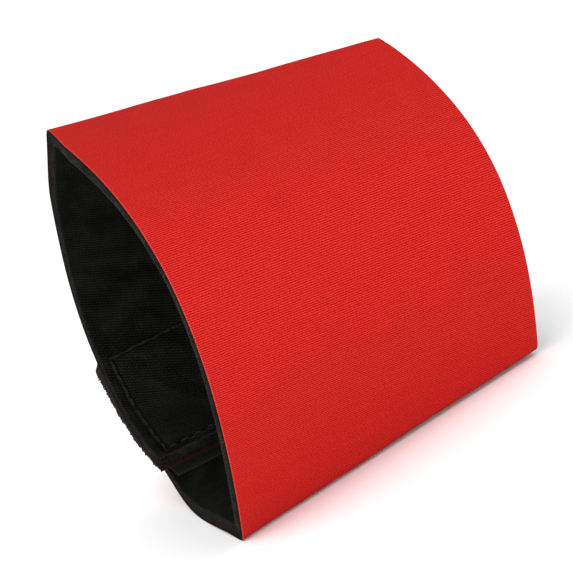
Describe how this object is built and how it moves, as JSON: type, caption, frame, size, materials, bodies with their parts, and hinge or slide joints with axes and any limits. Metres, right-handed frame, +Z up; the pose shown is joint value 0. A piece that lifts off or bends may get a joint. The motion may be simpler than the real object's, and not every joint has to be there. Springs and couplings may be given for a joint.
{
  "type": "wrist cuff",
  "caption": "Tapered wrap-around wrist cuff of red-faced laminated foam with a black lining, closed underneath by a stitched hook-and-loop tape.",
  "frame": {"origin": "centre of the bounding box at floor level, with the closed cuff lying on its lower crease and outer flap", "axes": "+Z up; the tube runs roughly along +X from the wide rim to the narrow rim; the front panel faces -Y"},
  "size_m": [0.0708, 0.083, 0.075],
  "materials": {
    "jersey": "matt fine-ribbed knit",
    "foam": "matt closed-cell foam",
    "lining": "matt plain knit",
    "tape": "woven tape",
    "hooks": "dense hooks",
    "loops": "brushed loops",
    "thread": "spun thread"
  },
  "bodies": {
    "outer_flap": {"outer_flap_jersey": "jersey", "outer_flap_foam": "foam", "outer_flap_lining": "lining", "loop_tape_backing": "tape", "loop_tape_loops": "loops", "loop_tape_needle_thread": "thread", "loop_tape_bobbin_thread": "thread"},
    "front_panel": {"front_jersey": "jersey", "front_foam": "foam", "front_lining": "lining"},
    "inner_flap": {"inner_flap_jersey": "jersey", "inner_flap_foam": "foam", "inner_flap_lining": "lining", "hook_tape_backing": "tape", "hook_tape_hooks": "hooks", "hook_tape_needle_thread": "thread", "hook_tape_bobbin_thread": "thread"}
  },
  "joints": [
    {"name": "lower_crease", "type": "hinge", "parent": "outer_flap", "child": "front_panel", "pos_m": [-0.03543, -0.02083, 0.00001], "axis": [0.9991, 0.0424, 0.0096], "range_deg": [0, 60]},
    {"name": "upper_crease", "type": "hinge", "parent": "front_panel", "child": "inner_flap", "pos_m": [-0.02698, 0.00569, 0.07522], "axis": [0.972, -0.0424, -0.231], "range_deg": [0, 48]}
  ],
  "couplings": [
    {"joint": "upper_crease", "follows": "lower_crease", "ratio": 0.8}
  ]
}
